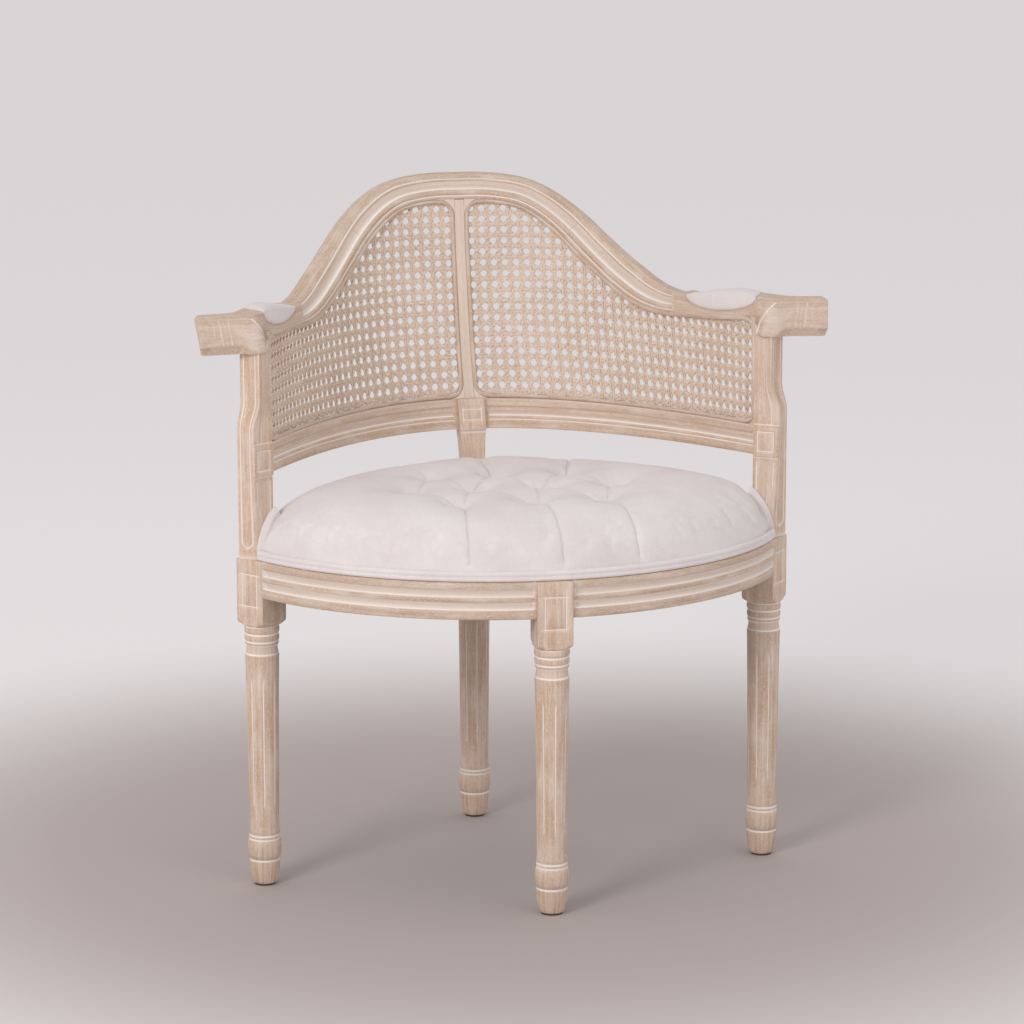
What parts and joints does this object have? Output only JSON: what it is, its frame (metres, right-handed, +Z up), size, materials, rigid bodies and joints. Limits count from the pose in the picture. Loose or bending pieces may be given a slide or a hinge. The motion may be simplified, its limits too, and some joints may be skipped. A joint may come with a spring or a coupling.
{
  "type": "corner chair",
  "caption": "Upholstered corner chair with turned fluted legs, one of them in front, a round tufted seat and a low curved back with cane panels that runs from arm to arm.",
  "frame": {"origin": "middle of the bounding box on the floor, under the seat", "axes": "+Z up from the floor, -Y towards the front leg and the sitter's front, +X to the right arm as seen from the front"},
  "size_m": [0.795, 0.613, 0.8361],
  "materials": {
    "oak": "limed and weathered light oak, white in the grooves",
    "beech": "plain sanded hardwood",
    "plywood": "raw plywood",
    "cane": "woven natural cane",
    "linen": "plain woven linen in a pale greige",
    "cover_cloth": "thin black lining cloth",
    "glide": "dark nylon glide",
    "steel": "zinc-plated steel"
  },
  "bodies": {
    "root": {"leg_front": "oak", "leg_left": "oak", "leg_right": "oak", "leg_rear": "oak", "foot_glides": "glide", "front_rail_left": "oak", "front_rail_right": "oak", "rear_rail_left": "oak", "rear_rail_right": "oak", "rail_dowels": "beech", "corner_blocks": "beech", "corner_bolts": "steel", "corner_washers": "steel", "seat_screws": "steel", "seat_board": "plywood", "dust_cover": "cover_cloth", "seat_cushion": "linen", "seat_gimp": "linen", "back_rail_left": "oak", "back_rail_right": "oak", "back_muntin": "oak", "crest": "oak", "shoulder_left": "oak", "shoulder_right": "oak", "top_rail_dowels": "beech", "arm_left": "oak", "arm_right": "oak", "arm_pad_left": "linen", "arm_pad_right": "linen", "cane_left": "cane", "cane_right": "cane", "spline_left": "oak", "spline_right": "oak"}
  },
  "joints": []
}
